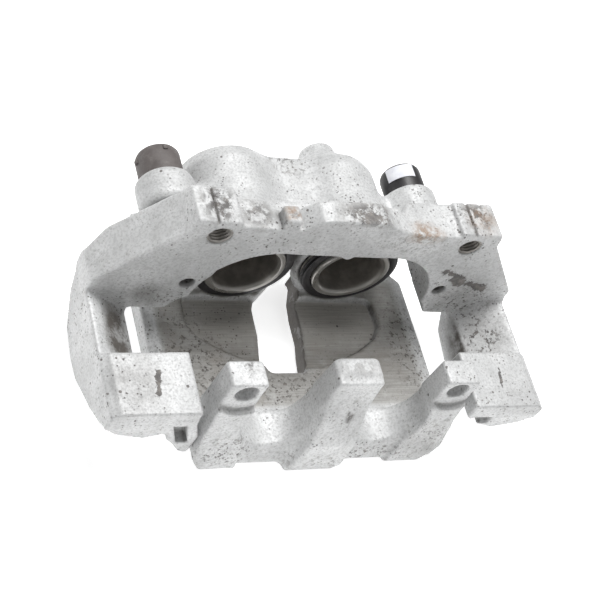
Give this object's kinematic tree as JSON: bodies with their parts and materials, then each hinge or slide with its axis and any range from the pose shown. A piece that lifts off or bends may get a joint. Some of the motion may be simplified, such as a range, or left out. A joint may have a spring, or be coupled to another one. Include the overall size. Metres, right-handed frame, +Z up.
{
  "type": "brake caliper",
  "caption": "Twin-piston sliding brake caliper on its carrier bracket, lying on its back, with guide pins, dust boots and bleed screw.",
  "frame": {"origin": "middle of the bounding box, on the surface the caliper lies on", "axes": "+X along the rotor's edge, the longest extent; +Y along the piston axes, inboard; +Z up, towards the hub"},
  "size_m": [0.269, 0.205, 0.123],
  "materials": {
    "silver_paint": "silver paint over rough cast iron, chipped and speckled",
    "machined_steel": "ground steel",
    "zinc_steel": "dull zinc plate",
    "black_rubber": "dull black rubber",
    "seal_rubber": "smooth black rubber",
    "paper": "blank white label"
  },
  "bodies": {
    "carrier": {"carrier_bracket": "silver_paint", "guide_pin_left": "zinc_steel", "guide_pin_right": "zinc_steel"},
    "caliper": {"caliper_housing": "silver_paint", "piston_seal_left": "seal_rubber", "dust_boot_left": "black_rubber", "boot_ring_left": "zinc_steel", "guide_sleeve_left": "zinc_steel", "guide_bush_left": "black_rubber", "guide_cap_left": "black_rubber", "piston_seal_right": "seal_rubber", "dust_boot_right": "black_rubber", "boot_ring_right": "zinc_steel", "guide_sleeve_right": "zinc_steel", "guide_bush_right": "black_rubber", "guide_cap_right": "black_rubber", "cap_label": "paper", "passage_plug": "zinc_steel"},
    "left_piston": {"piston_left": "machined_steel"},
    "right_piston": {"piston_right": "machined_steel"},
    "bleeder": {"bleed_screw": "zinc_steel", "bleed_cap": "black_rubber"}
  },
  "joints": [
    {"name": "caliper_slide", "type": "slide", "parent": "carrier", "child": "caliper", "axis": [0, 1, 0], "range_m": [-0.0015, 0.012]},
    {"name": "left_piston_slide", "type": "slide", "parent": "caliper", "child": "left_piston", "axis": [0, -1, 0], "range_m": [-0.002, 0.018]},
    {"name": "right_piston_slide", "type": "slide", "parent": "caliper", "child": "right_piston", "axis": [0, -1, 0], "range_m": [-0.002, 0.018]},
    {"name": "bleed_screw_turn", "type": "hinge", "parent": "caliper", "child": "bleeder", "pos_m": [0.038, 0.084, 0.032], "axis": [0, 1, 0], "range_deg": [0, 270]}
  ]
}
